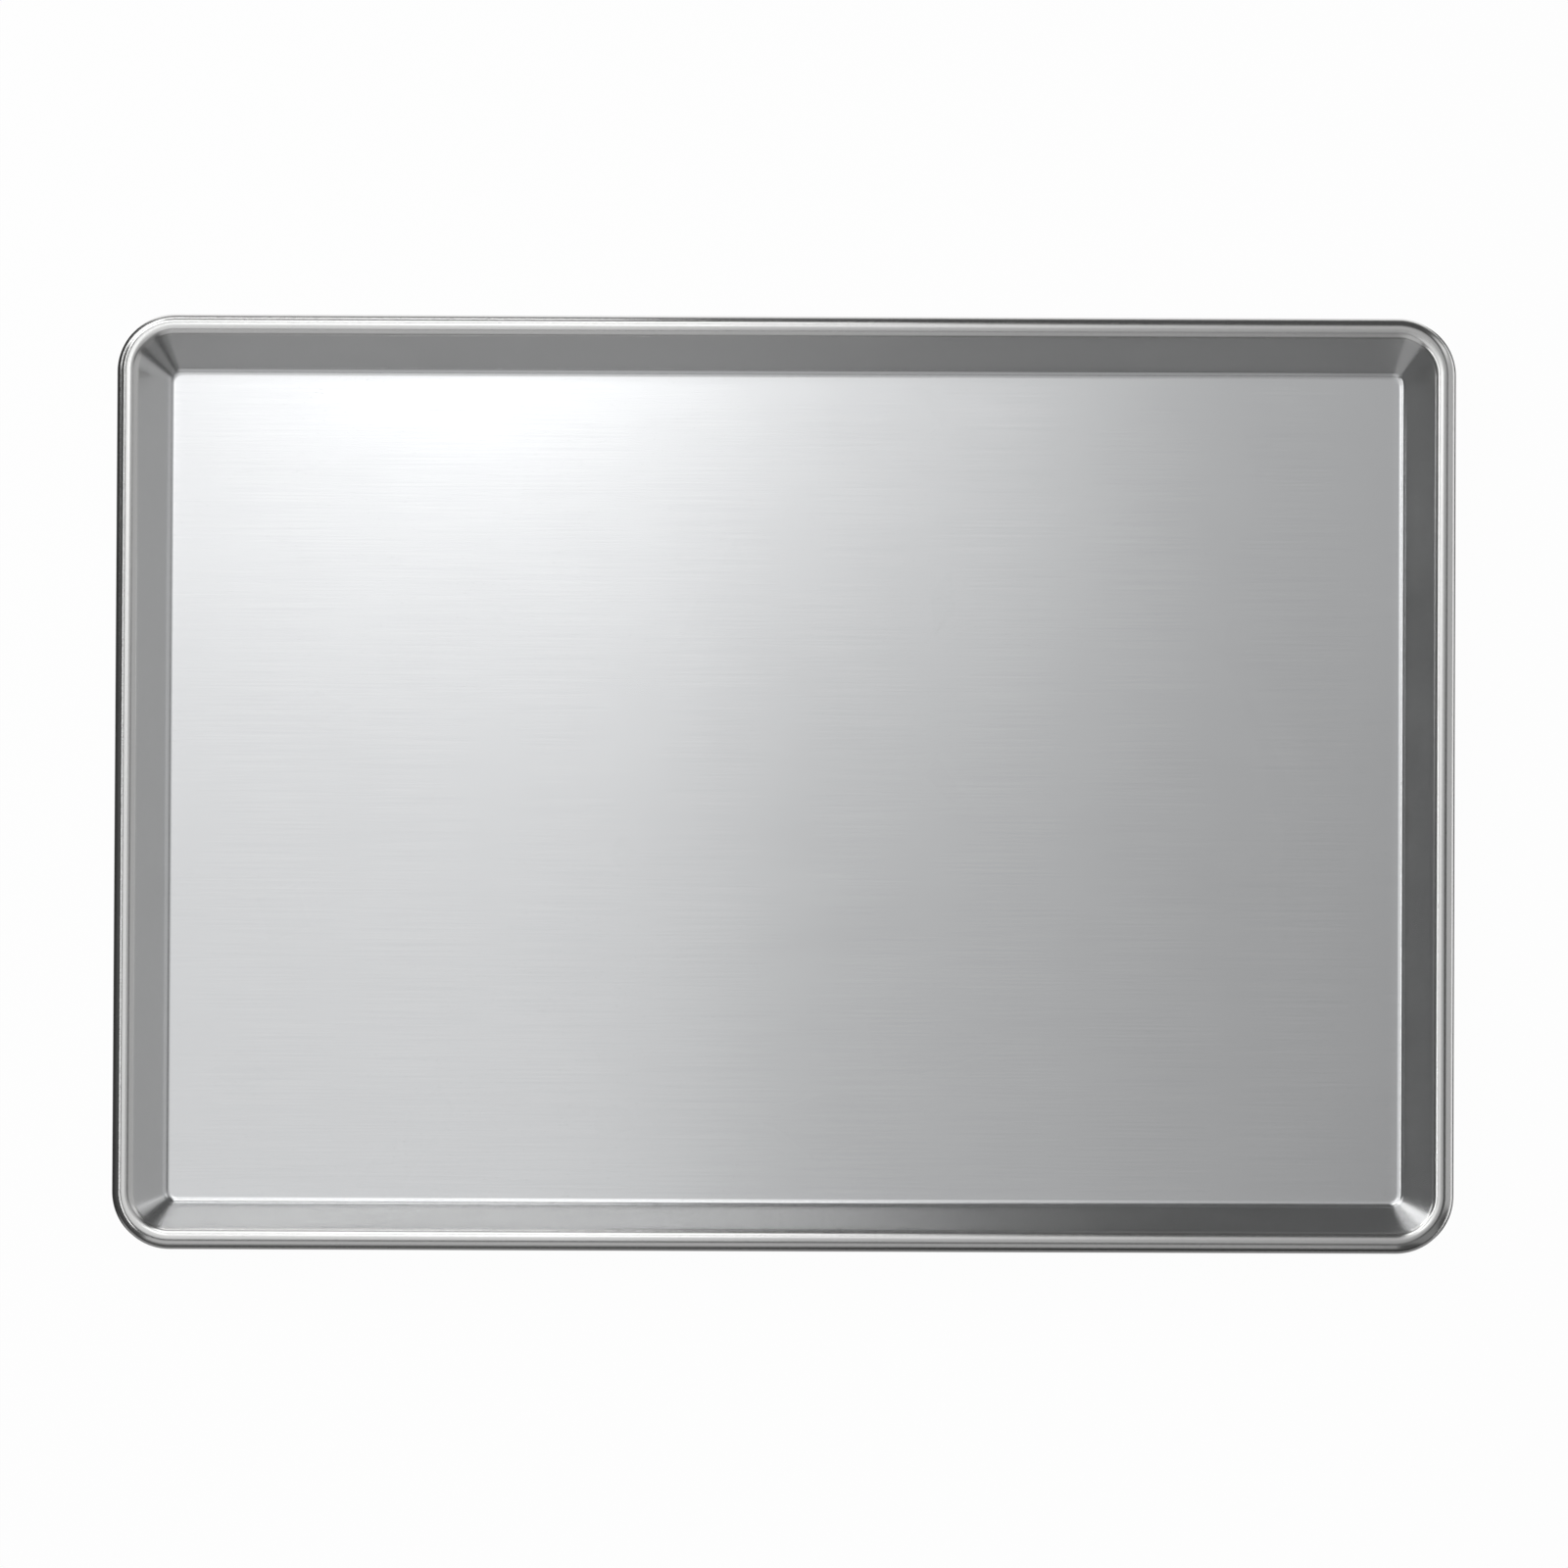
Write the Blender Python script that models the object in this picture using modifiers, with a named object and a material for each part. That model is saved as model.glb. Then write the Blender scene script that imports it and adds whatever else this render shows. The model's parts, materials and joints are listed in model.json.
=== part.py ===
"""A full-size sheet pan: one drawn aluminium sheet whose rim is curled round a steel wire.

Run with: blender --background --python part.py
Metres, +Z up. The origin is the centre of the underside, and +X runs along the long side.
"""

from math import cos, hypot, pi, radians, sin, tan

import bmesh
import bpy

# Overall size, measured over the rim
PAN_LENGTH = 0.654
PAN_WIDTH = 0.459
PAN_HEIGHT = 0.0254

# Sheet and wire stock
SHEET_THICKNESS = 0.001
WIRE_DIAMETER = 0.005

# Drawn shape, on the side that holds the food. The fillet is tight at the floor and opens into the wall
SIDE_SLOPE = radians(56)
FLOOR_FILLET_RADIUS = 0.005
FILLET_OPENS_AT = radians(44)
WALL_FILLET_RADIUS = 0.006

# Drawn corners, seen from above: of the flat floor's edge and of the rim's outer edge
FLOOR_CORNER_RADIUS = 0.004
RIM_CORNER_RADIUS = 0.0282

# Rolled rim: a broad crown that tightens at its crest, then into a curl round the wire
CROWN_INNER_RADIUS = 0.0068
CROWN_OUTER_RADIUS = 0.0052
CURL_STARTS_AT = radians(-75)
CURL_ENDS_AT = radians(-270)
WIRE_CLEARANCE = 0.0003
WIRE_END_GAP = 0.001

# Facets of the curved stretches
CORNER_STEPS = 14
FILLET_STEPS = 4
CROWN_STEPS = 6
CURL_STEPS = 13
WIRE_BEVEL_STEPS = 4

MERGE_DISTANCE = 0.00001
SMOOTH_ANGLE = radians(30)

CURL_RADIUS = WIRE_DIAMETER / 2 + WIRE_CLEARANCE + SHEET_THICKNESS


def bend(points, radius, start, end, steps):
    """Carries a line of (out, up) points on along an arc, from slope start to slope end."""
    out, up = points[-1]
    turn = radius if end > start else -radius
    for step in range(1, steps + 1):
        slope = start + (end - start) * step / steps
        points.append((out + turn * (sin(slope) - sin(start)), up + turn * (cos(start) - cos(slope))))


def pan_section():
    """The food side, from the flat floor's edge up the wall, over the crown and round to the hem.

    Also gives how far out the wall meets the crown.
    """
    points = [(FLOOR_CORNER_RADIUS, SHEET_THICKNESS)]
    bend(points, FLOOR_FILLET_RADIUS, 0, FILLET_OPENS_AT, FILLET_STEPS)
    bend(points, WALL_FILLET_RADIUS, FILLET_OPENS_AT, SIDE_SLOPE, FILLET_STEPS)
    foot_out, foot_up = points[-1]
    wall_top = PAN_HEIGHT - CROWN_INNER_RADIUS * (1 - cos(SIDE_SLOPE))
    wall_top_out = foot_out + (wall_top - foot_up) / tan(SIDE_SLOPE)
    points.append((wall_top_out, wall_top))
    bend(points, CROWN_INNER_RADIUS, SIDE_SLOPE, 0, CROWN_STEPS)
    bend(points, CROWN_OUTER_RADIUS, 0, CURL_STARTS_AT, CROWN_STEPS)
    bend(points, CURL_RADIUS, CURL_STARTS_AT, CURL_ENDS_AT, CURL_STEPS)
    return points, wall_top_out


# The wire lies at the centre of the curl. Distances outwards are from the axis of the floor's corner
SECTION, WALL_TOP_OUT = pan_section()
HEM_OUT, HEM_UP = SECTION[-1]
WIRE_CENTRE_OUT = HEM_OUT + CURL_RADIUS * sin(CURL_ENDS_AT)
WIRE_CENTRE_UP = HEM_UP - CURL_RADIUS * cos(CURL_ENDS_AT)
RIM_OUT = WIRE_CENTRE_OUT + CURL_RADIUS

# Upright axes of the floor's four corners, and how much further out, each way, the rim's axes stand
CORNER_AXIS_X = PAN_LENGTH / 2 - RIM_OUT
CORNER_AXIS_Y = PAN_WIDTH / 2 - RIM_OUT
RIM_AXIS_SHIFT = RIM_OUT - RIM_CORNER_RADIUS


def clear_scene():
    for obj in list(bpy.data.objects):
        bpy.data.objects.remove(obj, do_unlink=True)


def new_collection(name):
    collection = bpy.data.collections.new(name)
    bpy.context.scene.collection.children.link(collection)
    return collection


def metal(name, colour, roughness):
    material = bpy.data.materials.new(name)
    material.use_nodes = True
    shader = material.node_tree.nodes["Principled BSDF"]
    shader.inputs["Base Color"].default_value = (*colour, 1)
    shader.inputs["Metallic"].default_value = 1
    shader.inputs["Roughness"].default_value = roughness
    return material


def draw_side(bm, section_edges, travel):
    """Pulls a corner's section along its straight side and returns the vertex at the flat floor's edge."""
    pulled = bmesh.ops.extrude_edge_only(bm, edges=section_edges)
    verts = [item for item in pulled["geom"] if isinstance(item, bmesh.types.BMVert)]
    bmesh.ops.translate(bm, verts=verts, vec=travel)
    return min(verts, key=lambda vert: vert.co.z)


def tighten_corner(bm):
    """Moves the corner's axis out as the wall climbs, from the floor's corner to the rim's."""
    for vert in bm.verts:
        x = vert.co.x - CORNER_AXIS_X
        y = vert.co.y - CORNER_AXIS_Y
        if min(x, y) < -MERGE_DISTANCE:
            continue
        radius = hypot(x, y)
        climbed = (radius - FLOOR_CORNER_RADIUS) / (WALL_TOP_OUT - FLOOR_CORNER_RADIUS)
        shift = RIM_AXIS_SHIFT * min(max(climbed, 0), 1)
        vert.co.x += shift * (1 - x / radius)
        vert.co.y += shift * (1 - y / radius)


def fill_floor(bm, side_ends):
    """Fills the quarter of the flat floor between the fillet and the two middle planes."""
    middle = bm.verts.new((0, 0, SHEET_THICKNESS))
    floor_edge = [
        edge
        for edge in bm.edges
        if edge.is_boundary
        and all(abs(vert.co.z - SHEET_THICKNESS) < MERGE_DISTANCE for vert in edge.verts)
    ]
    spokes = [bm.edges.new((middle, end)) for end in side_ends]
    return bmesh.ops.contextual_create(bm, geom=floor_edge + spokes)["faces"][0]


def quarter_mesh():
    """One quarter of the food side, open at the pan's two middle planes and at the hem."""
    bm = bmesh.new()
    verts = [bm.verts.new((CORNER_AXIS_X + out, CORNER_AXIS_Y, up)) for out, up in SECTION]
    section = [bm.edges.new(pair) for pair in zip(verts, verts[1:])]
    corner = bmesh.ops.spin(
        bm,
        geom=verts + section,
        cent=(CORNER_AXIS_X, CORNER_AXIS_Y, 0),
        axis=(0, 0, 1),
        angle=pi / 2,
        steps=CORNER_STEPS,
    )
    turned_section = [item for item in corner["geom_last"] if isinstance(item, bmesh.types.BMEdge)]
    side_ends = [
        draw_side(bm, section, (0, -CORNER_AXIS_Y, 0)),
        draw_side(bm, turned_section, (-CORNER_AXIS_X, 0, 0)),
    ]
    floor = fill_floor(bm, side_ends)
    tighten_corner(bm)
    bmesh.ops.recalc_face_normals(bm, faces=bm.faces)
    if floor.normal.z < 0:
        bmesh.ops.reverse_faces(bm, faces=bm.faces)
    mesh = bpy.data.meshes.new("pan_shell")
    bm.to_mesh(mesh)
    bm.free()
    return mesh


def pan_shell(collection):
    mesh = quarter_mesh()
    shell = bpy.data.objects.new("pan_shell", mesh)
    collection.objects.link(shell)
    mirror = shell.modifiers.new("Quarters", "MIRROR")
    mirror.use_axis = (True, True, False)
    mirror.use_clip = True
    mirror.merge_threshold = MERGE_DISTANCE
    sheet = shell.modifiers.new("Sheet", "SOLIDIFY")
    sheet.thickness = SHEET_THICKNESS
    sheet.offset = -1
    sheet.use_even_offset = True
    mesh.materials.append(metal("mill_finish_aluminium", (0.80, 0.81, 0.82), 0.32))
    mesh.shade_smooth()
    mesh.set_sharp_from_angle(angle=SMOOTH_ANGLE)


def wire_route():
    """The wire's centre line, clockwise round the pan from one cut end to the other at the back."""
    half_gap = WIRE_END_GAP / 2
    axis_x = CORNER_AXIS_X + RIM_AXIS_SHIFT
    axis_y = CORNER_AXIS_Y + RIM_AXIS_SHIFT
    bend_radius = WIRE_CENTRE_OUT - RIM_AXIS_SHIFT
    back = axis_y + bend_radius
    route = [(half_gap, back)]
    for side_x, side_y, start in ((1, 1, pi / 2), (1, -1, 0), (-1, -1, -pi / 2), (-1, 1, -pi)):
        for step in range(CORNER_STEPS + 1):
            angle = start - step / CORNER_STEPS * pi / 2
            x = side_x * axis_x + bend_radius * cos(angle)
            y = side_y * axis_y + bend_radius * sin(angle)
            route.append((x, y))
    route.append((-half_gap, back))
    return [(x, y, WIRE_CENTRE_UP) for x, y in route]


def rim_wire(collection):
    curve = bpy.data.curves.new("rim_wire", "CURVE")
    curve.dimensions = "3D"
    curve.bevel_depth = WIRE_DIAMETER / 2
    curve.bevel_resolution = WIRE_BEVEL_STEPS
    curve.use_fill_caps = True
    spline = curve.splines.new("POLY")
    route = wire_route()
    spline.points.add(len(route) - 1)
    for point, place in zip(spline.points, route):
        point.co = (*place, 1)
    curve.materials.append(metal("galvanised_steel", (0.55, 0.56, 0.57), 0.45))
    collection.objects.link(bpy.data.objects.new("rim_wire", curve))


def main():
    clear_scene()
    collection = new_collection("sheet_pan")
    pan_shell(collection)
    rim_wire(collection)


main()
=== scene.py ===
import math

import bpy
from mathutils import Matrix, Vector, noise
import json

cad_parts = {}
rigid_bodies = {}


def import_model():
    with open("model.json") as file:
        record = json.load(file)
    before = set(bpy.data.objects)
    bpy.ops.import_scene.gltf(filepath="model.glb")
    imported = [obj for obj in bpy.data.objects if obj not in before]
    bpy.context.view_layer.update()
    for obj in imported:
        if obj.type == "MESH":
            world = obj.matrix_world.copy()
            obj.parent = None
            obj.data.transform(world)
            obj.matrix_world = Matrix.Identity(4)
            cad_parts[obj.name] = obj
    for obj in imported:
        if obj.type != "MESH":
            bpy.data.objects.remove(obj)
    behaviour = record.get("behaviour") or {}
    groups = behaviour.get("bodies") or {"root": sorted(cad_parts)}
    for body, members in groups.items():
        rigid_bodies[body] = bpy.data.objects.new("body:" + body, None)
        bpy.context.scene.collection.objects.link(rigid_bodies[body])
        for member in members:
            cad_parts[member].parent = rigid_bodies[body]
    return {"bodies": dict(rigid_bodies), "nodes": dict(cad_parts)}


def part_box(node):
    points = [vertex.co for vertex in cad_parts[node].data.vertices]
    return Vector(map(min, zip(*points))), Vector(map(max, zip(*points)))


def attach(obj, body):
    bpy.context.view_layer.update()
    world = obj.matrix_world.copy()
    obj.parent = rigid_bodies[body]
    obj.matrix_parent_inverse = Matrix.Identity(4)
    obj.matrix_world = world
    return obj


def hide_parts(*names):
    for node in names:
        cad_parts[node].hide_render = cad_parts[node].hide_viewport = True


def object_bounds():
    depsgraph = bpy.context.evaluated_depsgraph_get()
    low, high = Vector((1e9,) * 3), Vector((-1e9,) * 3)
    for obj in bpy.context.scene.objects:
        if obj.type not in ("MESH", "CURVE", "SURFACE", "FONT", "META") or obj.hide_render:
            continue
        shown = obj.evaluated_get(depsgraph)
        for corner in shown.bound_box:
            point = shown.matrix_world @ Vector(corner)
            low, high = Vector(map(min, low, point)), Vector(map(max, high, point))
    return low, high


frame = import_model()
cadLow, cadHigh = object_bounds()
scene = bpy.context.scene
print("frame loaded:", ", ".join(sorted(frame["nodes"])))


# Lengths are in metres throughout. Points closer together than this are one point
mergeDistance = 1e-6

edgeFinish = {
    "roundFrom": math.radians(60),     # edges that turn more than this are rounded over
    "roundSegments": 2,
    "smoothTo": math.radians(35),      # and those that turn less than this are shaded smooth
}


def clearSelection():
    if bpy.context.mode != "OBJECT":
        bpy.ops.object.mode_set(mode="OBJECT")
    bpy.ops.object.select_all(action="DESELECT")


def selectOnly(obj):
    clearSelection()
    bpy.context.view_layer.objects.active = obj
    obj.select_set(True)


def enterEdit(obj, kind):
    selectOnly(obj)
    bpy.ops.object.mode_set(mode="EDIT")
    bpy.ops.mesh.select_mode(type=kind)


def selectEdges(obj, wanted):
    # wanted(a, b) looks at the edge's two ends. The points of the last extrusion are let go first,
    # because a spin would take them along
    bpy.ops.mesh.select_all(action="DESELECT")
    bpy.ops.object.mode_set(mode="OBJECT")
    mesh = obj.data
    for edge in mesh.edges:
        a, b = (mesh.vertices[i].co for i in edge.vertices)
        edge.select = wanted(a, b)
    bpy.ops.object.mode_set(mode="EDIT")


def pull(move):
    bpy.ops.mesh.extrude_region_move(TRANSFORM_OT_translate={"value": move})


def turnAbout(centre, angle, steps):
    bpy.ops.mesh.spin(steps=steps, angle=angle, dupli=False, center=(*centre, 0), axis=(0, 0, 1))


def weld():
    # joins points that meet, turns the faces outwards and leaves edit mode
    bpy.ops.mesh.select_all(action="SELECT")
    bpy.ops.mesh.remove_doubles(threshold=mergeDistance)
    bpy.ops.mesh.normals_make_consistent(inside=False)
    bpy.ops.object.mode_set(mode="OBJECT")


def applyModifiers(obj):
    selectOnly(obj)
    for modifier in list(obj.modifiers):
        bpy.ops.object.modifier_apply(modifier=modifier.name)


def finishEdges(obj, width):
    # rounds the sharp edges, after any modifier that is still waiting, and shades the rest smooth
    edge = obj.modifiers.new("Edges", "BEVEL")
    edge.width = width
    edge.segments = edgeFinish["roundSegments"]
    edge.limit_method = "ANGLE"
    edge.angle_limit = edgeFinish["roundFrom"]
    applyModifiers(obj)
    bpy.ops.object.shade_smooth_by_angle(angle=edgeFinish["smoothTo"])


def near(a, b):
    return abs(a - b) < mergeDistance


# The pan. Its overall size comes from the frame
panShape = {
    "sheet": 0.001,              # thickness of the metal
    "floorCorner": 0.004,        # corner radius of the flat floor
    "rimCorner": 0.0282,         # and of the rim's outer edge
    # Bends of the section as (radius, slope where it ends). The fillet ends at the wall's slope.
    # The crown has an inner and an outer side, and goes on into the curl round the wire
    "fillet": ((0.005, math.radians(44)), (0.006, math.radians(56))),
    "crown": ((0.0068, 0), (0.0052, math.radians(-75)), (0.0038, math.radians(-270))),
    "stepAngle": math.radians(4),
    "wallSteps": 6,
    "cornerSteps": 30,
    "floorCells": (30, 20),      # of a quarter of the floor
    "waveHeight": 0.00022,       # the sheet isn't quite flat
    "waveLength": 0.16,
    "hemBevel": 0.00012,
}


def bend(points, radius, start, end, step):
    # carries the line on along an arc, from slope start to slope end
    out, up = points[-1]
    turn = radius if end > start else -radius
    count = round(abs(end - start) / step)
    for i in range(1, count + 1):
        slope = start + (end - start) * i / count
        points.append((out + turn * (math.sin(slope) - math.sin(start)),
                       up + turn * (math.cos(start) - math.cos(slope))))


def panSection(shape, height):
    # food side as (out, up), from the axis of the floor's corner to the hem
    points = [(0, shape["sheet"]), (shape["floorCorner"], shape["sheet"])]
    slope = 0
    for radius, end in shape["fillet"]:
        bend(points, radius, slope, end, shape["stepAngle"])
        slope = end
    foot = points[-1]
    crestRise = shape["crown"][0][0] * (1 - math.cos(slope))
    rise = height - crestRise - foot[1]
    for i in range(1, shape["wallSteps"] + 1):
        climb = rise * i / shape["wallSteps"]
        points.append((foot[0] + climb / math.tan(slope), foot[1] + climb))
    wallTop = points[-1][0]
    for radius, end in shape["crown"]:
        bend(points, radius, slope, end, shape["stepAngle"])
        slope = end
    reach = max(out for out, up in points)
    hem = points[-1]
    curlRadius = shape["crown"][-1][0]
    wireAt = (hem[0] + curlRadius, hem[1])
    return points, wireAt, reach, wallTop


def extrudeAlong(path, direction):
    # pulls the selected edges from each point of the section to the next
    for (out0, up0), (out1, up1) in zip(path, path[1:]):
        pull((direction[0] * (out1 - out0), direction[1] * (out1 - out0), up1 - up0))


def sharpenCorner(shell, axis, inner, outer, squareUp):
    # the corner's axis moves out by squareUp from the floor to the top of the wall
    for vertex in shell.data.vertices:
        x, y = vertex.co.x - axis[0], vertex.co.y - axis[1]
        radius = math.hypot(x, y)
        if min(x, y) > -mergeDistance and radius > inner:
            move = squareUp * min(1, (radius - inner) / (outer - inner))
            vertex.co.x += move * (1 - x / radius)
            vertex.co.y += move * (1 - y / radius)


def addWaves(shell, shape, height):
    # a slow lift of the metal, never below the flat it stands on. It dies out towards the stiff rim
    for vertex in shell.data.vertices:
        spot = Vector((vertex.co.x, vertex.co.y, 0)) / shape["waveLength"]
        lift = shape["waveHeight"] * (0.5 + 0.5 * noise.noise(spot))
        vertex.co.z += lift * (1 - vertex.co.z / height)


def makeQuarter(shape, section, floorX, floorY):
    # the food side of one quarter: a flat grid whose two outer edges are pulled along the section
    cellsX, cellsY = shape["floorCells"]
    clearSelection()
    bpy.ops.mesh.primitive_grid_add(x_subdivisions=cellsX, y_subdivisions=cellsY, size=1,
                                    location=(floorX / 2, floorY / 2, shape["sheet"]))
    shell = bpy.context.object
    shell.name = shell.data.name = "panShell"
    shell.scale = (floorX, floorY, 1)
    bpy.ops.object.transform_apply(location=True, rotation=True, scale=True)

    def onBackLine(a, b):
        return near(a.y, floorY) and near(b.y, floorY)

    def isPastCorner(a, b):
        return max(a.x, b.x) > floorX + mergeDistance

    def isFloorEdge(a, b):
        return near(a.z, shape["sheet"]) and near(b.z, shape["sheet"]) and not isPastCorner(a, b)

    enterEdit(shell, "EDGE")
    selectEdges(shell, lambda a, b: near(a.x, floorX) and near(b.x, floorX))
    extrudeAlong(section, (1, 0))
    selectEdges(shell, lambda a, b: onBackLine(a, b) and isFloorEdge(a, b))
    extrudeAlong(section, (0, 1))
    # the right wall's end is turned about the floor's corner to meet the back wall's end
    selectEdges(shell, lambda a, b: onBackLine(a, b) and isPastCorner(a, b))
    turnAbout((floorX, floorY), -math.pi / 2, shape["cornerSteps"])
    weld()
    if shell.data.polygons[0].normal.z < 0:
        shell.data.flip_normals()
    return shell


def makeShell(shape):
    _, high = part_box("pan_shell")
    section, wireAt, reach, wallTop = panSection(shape, high.z)
    floorX, floorY = high.x - reach, high.y - reach     # axis of the floor's corner
    squareUp = reach - shape["rimCorner"]
    shell = makeQuarter(shape, section, floorX, floorY)
    sharpenCorner(shell, (floorX, floorY), shape["floorCorner"], wallTop, squareUp)
    mirror = shell.modifiers.new("Quarters", "MIRROR")
    mirror.use_axis = (True, True, False)
    mirror.use_clip = True
    mirror.merge_threshold = mergeDistance
    applyModifiers(shell)
    addWaves(shell, shape, high.z)
    sheet = shell.modifiers.new("Sheet", "SOLIDIFY")
    sheet.thickness = shape["sheet"]
    sheet.offset = -1            # all of it below the food side
    sheet.use_even_offset = True
    finishEdges(shell, shape["hemBevel"])
    print("shell:", len(shell.data.polygons), "faces; floor",
          round(floorX * 2, 4), "by", round(floorY * 2, 4))
    return shell, (floorX + squareUp, floorY + squareUp), (wireAt[0] - squareUp, wireAt[1])


wireShape = {
    "radius": 0.0025,
    "sides": 24,
    "cornerSteps": 24,
    "endGap": 0.001,
    "endBevel": 0.0004,
}


def makeWire(shape, rimAxis, wireAt):
    axisX, axisY = rimAxis
    out, up = wireAt
    start = shape["endGap"] / 2
    clearSelection()
    bpy.ops.mesh.primitive_circle_add(vertices=shape["sides"], radius=shape["radius"], fill_type="NGON",
                                      location=(start, axisY + out, up), rotation=(0, math.pi / 2, 0))
    wire = bpy.context.object
    wire.name = wire.data.name = "rimWire"
    bpy.ops.object.transform_apply(location=True, rotation=True, scale=True)
    enterEdit(wire, "FACE")
    bpy.ops.mesh.select_all(action="SELECT")
    # clockwise round the pan: a bend at each corner and the straight run that follows, back to the gap
    corners = ((axisX, axisY), (axisX, -axisY), (-axisX, -axisY), (-axisX, axisY))
    runs = ((0, -2 * axisY, 0), (-2 * axisX, 0, 0), (0, 2 * axisY, 0), (axisX - start, 0, 0))
    pull((axisX - start, 0, 0))
    for corner, run in zip(corners, runs):
        turnAbout(corner, math.pi / 2, shape["cornerSteps"])
        pull(run)
    weld()
    finishEdges(wire, shape["endBevel"])
    print("wire:", len(wire.data.polygons), "faces")
    return wire


panShell, rimAxis, wireAt = makeShell(panShape)
rimWire = makeWire(wireShape, rimAxis, wireAt)


def newMaterial(name):
    material = bpy.data.materials.new(name)
    material.use_nodes = True
    return material, material.node_tree


def feed(tree, socket, value):
    # value is a number, a vector, a colour or another node's output
    if isinstance(value, bpy.types.NodeSocket):
        tree.links.new(value, socket)
    elif socket.type == "RGBA":
        socket.default_value = (*value, 1)
    else:
        socket.default_value = value


def calculate(tree, kind, operation, *values):
    # kind is Math or VectorMath
    step = tree.nodes.new("ShaderNode" + kind)
    step.operation = operation
    for socket, value in zip(step.inputs, values):
        feed(tree, socket, value)
    return step.outputs


def remap(tree, value, fromRange, toRange, interpolation="LINEAR"):
    step = tree.nodes.new("ShaderNodeMapRange")
    step.interpolation_type = interpolation
    step.inputs["From Min"].default_value, step.inputs["From Max"].default_value = fromRange
    step.inputs["To Min"].default_value, step.inputs["To Max"].default_value = toRange
    tree.links.new(value, step.inputs["Value"])
    return step.outputs["Result"]


def mixed(tree, kind, share, first, second, blend="MIX"):
    # kind is FLOAT or RGBA
    mix = tree.nodes.new("ShaderNodeMix")
    mix.data_type = kind
    mix.blend_type = blend
    feed(tree, mix.inputs["Factor"], share)
    feed(tree, mix.inputs["A"], first)
    feed(tree, mix.inputs["B"], second)
    return mix.outputs["Result"]


def shadeBy(tree, colour, share):
    return mixed(tree, "RGBA", 1, colour, share, "MULTIPLY")


def objectPlace(tree):
    return tree.nodes.new("ShaderNodeTexCoord").outputs["Object"]


def stretchedNoise(tree, pattern):
    mapping = tree.nodes.new("ShaderNodeMapping")
    mapping.inputs["Scale"].default_value = pattern["scale"]
    mapping.inputs["Location"].default_value = pattern["at"]
    texture = tree.nodes.new("ShaderNodeTexNoise")
    texture.inputs["Scale"].default_value = 1        # the mapping has scaled it
    texture.inputs["Detail"].default_value = pattern["detail"]
    tree.links.new(objectPlace(tree), mapping.inputs["Vector"])
    tree.links.new(mapping.outputs["Vector"], texture.inputs["Vector"])
    return texture.outputs["Fac"]


noiseMiddle = (0.3, 0.7)         # nearly all of a noise's values lie between these


def spread(tree, pattern, toRange):
    return remap(tree, pattern, noiseMiddle, toRange)


def tinted(tree, look, pattern):
    return mixed(tree, "RGBA", spread(tree, pattern, (0, 1)), look["colour"], look["paler"])


aluminium = {
    "colour": (0.794, 0.804, 0.818),
    "paler": (0.827, 0.837, 0.847),
    "burnished": (0.815, 0.815, 0.81),
    "floorRoughness": (0.22, 0.25),      # satin from the rolling mill
    "rimRoughness": (0.21, 0.24),        # burnished by the tools that drew and curled it
    "burnishHeights": (0.0012, 0.005),   # where the burnishing starts, and where it is full
    "anisotropy": 0.4,
    # Noises, with cells per metre along X, Y and Z. The grain is long along the pan and fine across it
    "grain": {"scale": (14, 1400, 60), "at": (0, 0, 0), "detail": 4},
    "cloud": {"scale": (9, 30, 20), "at": (3, 1, 0), "detail": 3},
    "mottle": {"scale": (26, 26, 26), "at": (0, 7, 2), "detail": 4},
    "bloom": (0.985, 1),                 # share of the colour left where the oxide mottles it
    "grainBump": 0.045,
    "pitScale": 320,                     # cells per metre. About one in four shows its pit
    "pitRadius": (0.05, 0.13),           # in cells: of the pit's flat bottom and of its edge
    "pitShade": 0.9,
    "pitBump": 0.15,
    "bumpDepth": 0.0001,
}


def addGrainMap(obj):
    # the rolled grain runs along X, so the sheen spreads along Y, which U follows
    layer = obj.data.uv_layers.new(name="grain")
    for loop in obj.data.loops:
        place = obj.data.vertices[loop.vertex_index].co
        layer.data[loop.index].uv = (place.y, place.x)


def scatteredPits(tree, look):
    # 1 in a pit and 0 outside it. The sheet cuts the cells at any depth, so the pits differ in size
    cells = tree.nodes.new("ShaderNodeTexVoronoi")
    cells.inputs["Scale"].default_value = look["pitScale"]
    tree.links.new(objectPlace(tree), cells.inputs["Vector"])
    return remap(tree, cells.outputs["Distance"], look["pitRadius"], (1, 0), "SMOOTHSTEP")


def burnishShare(tree, look):
    # 0 on the floor and 1 on the wall and the bead
    height = tree.nodes.new("ShaderNodeSeparateXYZ")
    tree.links.new(objectPlace(tree), height.inputs["Vector"])
    return remap(tree, height.outputs["Z"], look["burnishHeights"], (0, 1), "SMOOTHSTEP")


def aluminiumColour(tree, look, grain, burnish, pits):
    sheen = mixed(tree, "RGBA", burnish, tinted(tree, look, grain), look["burnished"])
    bloom = spread(tree, stretchedNoise(tree, look["mottle"]), look["bloom"])
    pitShade = remap(tree, pits, (0, 1), (1, look["pitShade"]))
    return shadeBy(tree, shadeBy(tree, sheen, bloom), pitShade)


def aluminiumRoughness(tree, look, burnish):
    cloud = stretchedNoise(tree, look["cloud"])
    floorRoughness = spread(tree, cloud, look["floorRoughness"])
    rimRoughness = spread(tree, cloud, look["rimRoughness"])
    return mixed(tree, "FLOAT", burnish, floorRoughness, rimRoughness)


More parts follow.
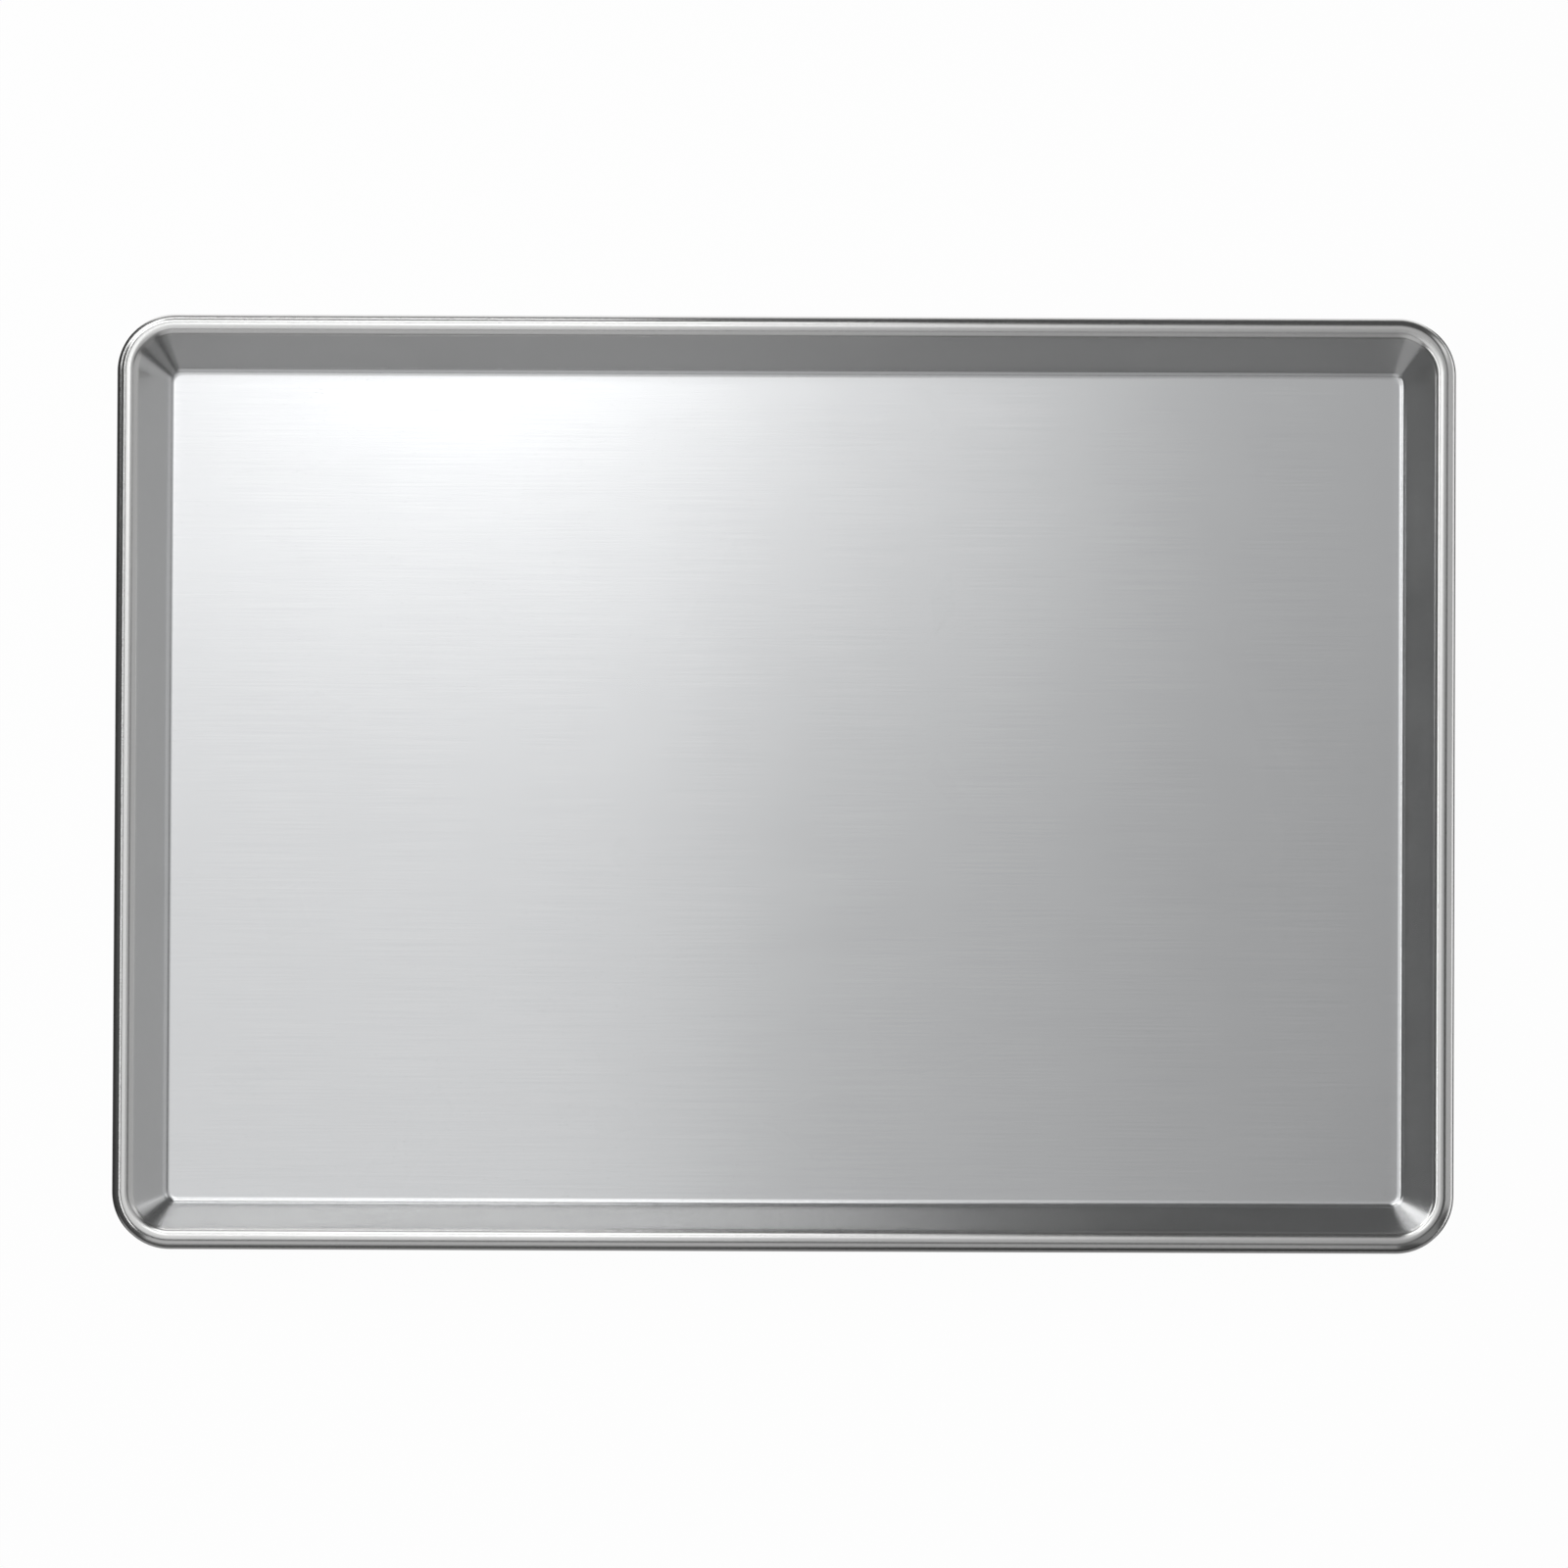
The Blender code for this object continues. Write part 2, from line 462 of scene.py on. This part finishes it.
def aluminiumRelief(tree, look, grain, burnish, pits):
    grainBump = remap(tree, burnish, (0, 1), (look["grainBump"], 0))      # the burnished rim has lost it
    ridges, dents = tree.nodes.new("ShaderNodeBump"), tree.nodes.new("ShaderNodeBump")
    dents.invert = True
    for bump, height, strength in ((ridges, grain, grainBump), (dents, pits, look["pitBump"])):
        feed(tree, bump.inputs["Strength"], strength)
        bump.inputs["Distance"].default_value = look["bumpDepth"]
        tree.links.new(height, bump.inputs["Height"])
    tree.links.new(ridges.outputs["Normal"], dents.inputs["Normal"])
    return dents.outputs["Normal"]


def makeAluminium(look):
    material, tree = newMaterial("satinAluminium")
    shader = tree.nodes["Principled BSDF"]
    grain = stretchedNoise(tree, look["grain"])
    burnish = burnishShare(tree, look)
    pits = scatteredPits(tree, look)
    tangent = tree.nodes.new("ShaderNodeTangent")
    tangent.direction_type = "UV_MAP"
    tangent.uv_map = "grain"
    shader.inputs["Metallic"].default_value = 1
    shader.inputs["Anisotropic"].default_value = look["anisotropy"]
    tree.links.new(aluminiumColour(tree, look, grain, burnish, pits), shader.inputs["Base Color"])
    tree.links.new(aluminiumRoughness(tree, look, burnish), shader.inputs["Roughness"])
    tree.links.new(aluminiumRelief(tree, look, grain, burnish, pits), shader.inputs["Normal"])
    tree.links.new(tangent.outputs["Tangent"], shader.inputs["Tangent"])
    return material


galvanised = {
    "colour": (0.50, 0.51, 0.52),
    "paler": (0.62, 0.63, 0.64),
    "roughness": (0.38, 0.55),
    "spangle": {"scale": (260, 260, 260), "at": (0, 0, 0), "detail": 2},
}


def makeGalvanised(look):
    material, tree = newMaterial("galvanisedSteel")
    shader = tree.nodes["Principled BSDF"]
    spangle = stretchedNoise(tree, look["spangle"])
    shader.inputs["Metallic"].default_value = 1
    tree.links.new(tinted(tree, look, spangle), shader.inputs["Base Color"])
    tree.links.new(spread(tree, spangle, look["roughness"]), shader.inputs["Roughness"])
    return material


addGrainMap(panShell)
panShell.data.materials.append(makeAluminium(aluminium))
rimWire.data.materials.append(makeGalvanised(galvanised))
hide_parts("pan_shell")
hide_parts("rim_wire")
for piece, slot in ((panShell, "pan_shell"), (rimWire, "rim_wire")):
    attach(piece, list(frame["bodies"])[0])
print("materials on")


def plainLight(tree, grey):
    light = tree.nodes.new("ShaderNodeEmission")
    light.inputs["Color"].default_value = (grey, grey, grey, 1)
    light.inputs["Strength"].default_value = 1
    return light.outputs["Emission"]


stageLook = {
    "size": 12,
    "colour": (0.9, 0.9, 0.9),
    "roughness": 0.9,
    "ownLight": 0.975,         # share of the floor's plain white that no shadow touches
    "shadedFrom": -0.003,      # under the overhanging rim that share falls away. Metres out from the rim
    "shadedTo": -0.016,
}


def outsideRim(tree, look):
    # 1 on the open floor and 0 well under the pan, by the distance from the rim's rounded rectangle
    corner = panShape["rimCorner"]
    cornerAxis = (cadHigh.x - corner, cadHigh.y - corner, 0)
    spot = calculate(tree, "VectorMath", "ABSOLUTE", objectPlace(tree))["Vector"]
    spot = calculate(tree, "VectorMath", "SUBTRACT", spot, cornerAxis)["Vector"]
    spot = calculate(tree, "VectorMath", "MAXIMUM", spot, (0, 0, 0))["Vector"]
    reach = calculate(tree, "VectorMath", "LENGTH", spot)["Value"]
    shadeEdges = (corner + look["shadedTo"], corner + look["shadedFrom"])
    return remap(tree, reach, shadeEdges, (0, 1), "SMOOTHSTEP")


def makeFloor(look):
    clearSelection()
    bpy.ops.mesh.primitive_plane_add(size=look["size"], location=(0, 0, 0))
    floor = bpy.context.object
    floor.name = floor.data.name = "stageFloor"
    material, tree = newMaterial("paleFloor")
    shader = tree.nodes["Principled BSDF"]
    shader.inputs["Base Color"].default_value = (*look["colour"], 1)
    shader.inputs["Roughness"].default_value = look["roughness"]
    shader.inputs["Specular IOR Level"].default_value = 0
    # the floor's own light shows to the camera and in mirrors and glass, and lights nothing
    rays = tree.nodes.new("ShaderNodeLightPath").outputs
    seen = calculate(tree, "Math", "MAXIMUM", rays["Is Camera Ray"], rays["Is Glossy Ray"])["Value"]
    seen = calculate(tree, "Math", "MAXIMUM", seen, rays["Is Transmission Ray"])["Value"]
    share = calculate(tree, "Math", "MULTIPLY", seen, look["ownLight"])["Value"]
    share = calculate(tree, "Math", "MULTIPLY", share, outsideRim(tree, look))["Value"]
    mix = tree.nodes.new("ShaderNodeMixShader")
    tree.links.new(share, mix.inputs["Fac"])
    tree.links.new(shader.outputs["BSDF"], mix.inputs[1])
    tree.links.new(plainLight(tree, 1), mix.inputs[2])
    tree.links.new(mix.outputs["Shader"], tree.nodes["Material Output"].inputs["Surface"])
    floor.data.materials.append(material)


# Lamps: where each one's middle is, the way it faces, its width and height, and the radiance it shows
down, forward, backward = (0, 0, -1), (0, -1, 0), (0, 1, 0)
rightward, leftward = (1, 0, 0), (-1, 0, 0)
atPan = None                   # turned to the pan's middle
softBoxes = {
    "leftScrim": {"at": (-0.375, 0.075, 1.09), "faces": down, "size": (0.65, 1.05), "glow": 0.69},
    "middleScrim": {"at": (0.05, 0.2, 1.12), "faces": down, "size": (0.2, 1.3), "glow": 0.415},
    "rightScrim": {"at": (0.275, -0.125, 1.1), "faces": down, "size": (0.25, 0.65), "glow": 0.33},
    "backScrim": {"at": (0, 0.525, 1.14), "faces": down, "size": (1.4, 0.65), "glow": 0.39},
    "brightPatch": {"at": (-0.16, 0.45, 1.07), "faces": down, "size": (0.26, 0.2), "glow": 1.05},
    "backWindow": {"at": (-0.58, 0.86, 0.863), "faces": forward, "size": (1.24, 0.476), "glow": 1.82},
    "backSill": {"at": (-0.825, 0.84, 0.289), "faces": forward, "size": (0.75, 0.336), "glow": 2.0},
    "lowStrip": {"at": (-0.265, 0.85, 0.2), "faces": forward, "size": (0.37, 0.158), "glow": 1.75},
    "leftWindow": {"at": (-1.2, 0, 1.25), "faces": rightward, "size": (1.9, 0.36), "glow": 1.8},
    "leftSill": {"at": (-1.19, 0.65, 0.117), "faces": rightward, "size": (0.6, 0.19), "glow": 1.5},
    "rightWall": {"at": (1.2, 0.3, 0.8), "faces": leftward, "size": (1.3, 1.56), "glow": 0.385},
    "frontWall": {"at": (-0.3, -1.2, 1.18), "faces": backward, "size": (1.3, 1.48), "glow": 0.32},
    "frontLeftWall": {"at": (-0.475, -1.22, 0.97), "faces": backward, "size": (0.95, 1.9), "glow": 0.11},
    "backRightBox": {"at": (2.08, 1.75, 1.27), "faces": atPan, "size": (0.94, 1.5), "glow": 0.52},
    "frontRightBox": {"at": (1.8, -1.8, 1.59), "faces": atPan, "size": (1.3, 4.2), "glow": 0.15},
}


def makeSoftBox(name, look):
    width, height = look["size"]
    lamp = bpy.data.lights.new(name, "AREA")
    lamp.shape = "RECTANGLE"
    lamp.size, lamp.size_y = width, height
    lamp.energy = look["glow"] * math.pi * width * height    # a flat lamp's watts for that radiance
    box = bpy.data.objects.new(name, lamp)
    scene.collection.objects.link(box)
    box.location = look["at"]
    way = -box.location if look["faces"] is atPan else Vector(look["faces"])
    box.rotation_euler = way.to_track_quat("-Z", "Y").to_euler()
    box.visible_camera = False


# Painted reflections: dark and grey sheets lie on the table round the pan, each glowing a fixed grey
# that only the metal shows.
# They light nothing. Each reaches between two distances out from the rim, and past the pan's corners
# sideways. A later one lies on the earlier ones
reflectionCards = {
    "farLeftCard": {"side": (-1, 0), "between": (0, 5.5), "past": 5.5, "grey": 0.04},
    "farRightCard": {"side": (1, 0), "between": (0.3, 5.5), "past": 5.5, "grey": 0.05},
    "farFrontCard": {"side": (0, -1), "between": (0.06, 5.5), "past": 5.5, "grey": 0.02},
    "farBackCard": {"side": (0, 1), "between": (0.3, 5.5), "past": 5.5, "grey": 0.03},
    "leftCard": {"side": (-1, 0), "between": (0, 0.06), "past": 0.06, "grey": 0.04},
    "rightCard": {"side": (1, 0), "between": (0, 0.035), "past": 0.035, "grey": 0.08},
    "frontCard": {"side": (0, -1), "between": (0, 0.06), "past": 0.06, "grey": 0.28},
    "backCard": {"side": (0, 1), "between": (0.06, 0.3), "past": 0.3, "grey": 0.27},
}
cardStep = 0.0001              # from each card up to the next


def makeReflectionCard(name, look, height):
    sideX, sideY = look["side"]
    nearEdge, farEdge = look["between"]
    middle = (nearEdge + farEdge) / 2
    if sideX:
        size = (farEdge - nearEdge, 2 * (cadHigh.y + look["past"]))
        place = (sideX * (cadHigh.x + middle), 0, height)
    else:
        size = (2 * (cadHigh.x + look["past"]), farEdge - nearEdge)
        place = (0, sideY * (cadHigh.y + middle), height)
    clearSelection()
    bpy.ops.mesh.primitive_plane_add(size=1, location=place)
    card = bpy.context.object
    card.name = card.data.name = name
    card.scale = (*size, 1)
    bpy.ops.object.transform_apply(location=True, rotation=True, scale=True)
    material, tree = newMaterial(name)
    # painted reflection: the sheet glows its fixed grey, hidden from the camera, from other surfaces and
    # from shadows
    tree.links.new(plainLight(tree, look["grey"]), tree.nodes["Material Output"].inputs["Surface"])
    card.data.materials.append(material)
    card.visible_camera = card.visible_diffuse = card.visible_shadow = card.visible_transmission = False


room = {
    "colour": (1, 1, 1),
    "glow": 0.065,
}


def makeWorld(look):
    world = bpy.data.worlds.new("room")
    world.use_nodes = True
    backdrop = world.node_tree.nodes["Background"]
    backdrop.inputs["Color"].default_value = (*look["colour"], 1)
    backdrop.inputs["Strength"].default_value = look["glow"]
    scene.world = world


makeFloor(stageLook)
for boxName, boxLook in softBoxes.items():
    makeSoftBox(boxName, boxLook)
for layer, (cardName, cardLook) in enumerate(reflectionCards.items(), 1):
    makeReflectionCard(cardName, cardLook, cardStep * layer)
makeWorld(room)
print("stage and lights on")


# The photograph looks almost straight down, from a little towards the front
cameraLook = {
    "distance": 20,
    "towardFront": math.radians(6.2),
    "towardRight": math.radians(0.6),
    "roll": math.radians(0.22),      # the pan lies turned clockwise by this
    "frameWidth": 0.7654,            # metres across the picture at the rim
    "aim": (-0.0003, -0.0002, 0.0196),
    "sensor": 36,                    # millimetres
}


def makeCamera(look):
    lens = bpy.data.cameras.new("camera")
    lens.sensor_width = look["sensor"]
    lens.lens = look["sensor"] * look["distance"] / look["frameWidth"]
    lens.clip_end = 2 * look["distance"]
    camera = bpy.data.objects.new("camera", lens)
    scene.collection.objects.link(camera)
    back = Vector((math.tan(look["towardRight"]), -math.tan(look["towardFront"]), 1)).normalized()
    camera.location = Vector(look["aim"]) + back * look["distance"]
    level = Vector((math.cos(look["roll"]), math.sin(look["roll"]), 0))
    up = back.cross(level).normalized()
    right = up.cross(back)
    camera.rotation_euler = Matrix((right, up, back)).transposed().to_euler()
    scene.camera = camera


makeCamera(cameraLook)
scene.view_settings.view_transform = "Standard"
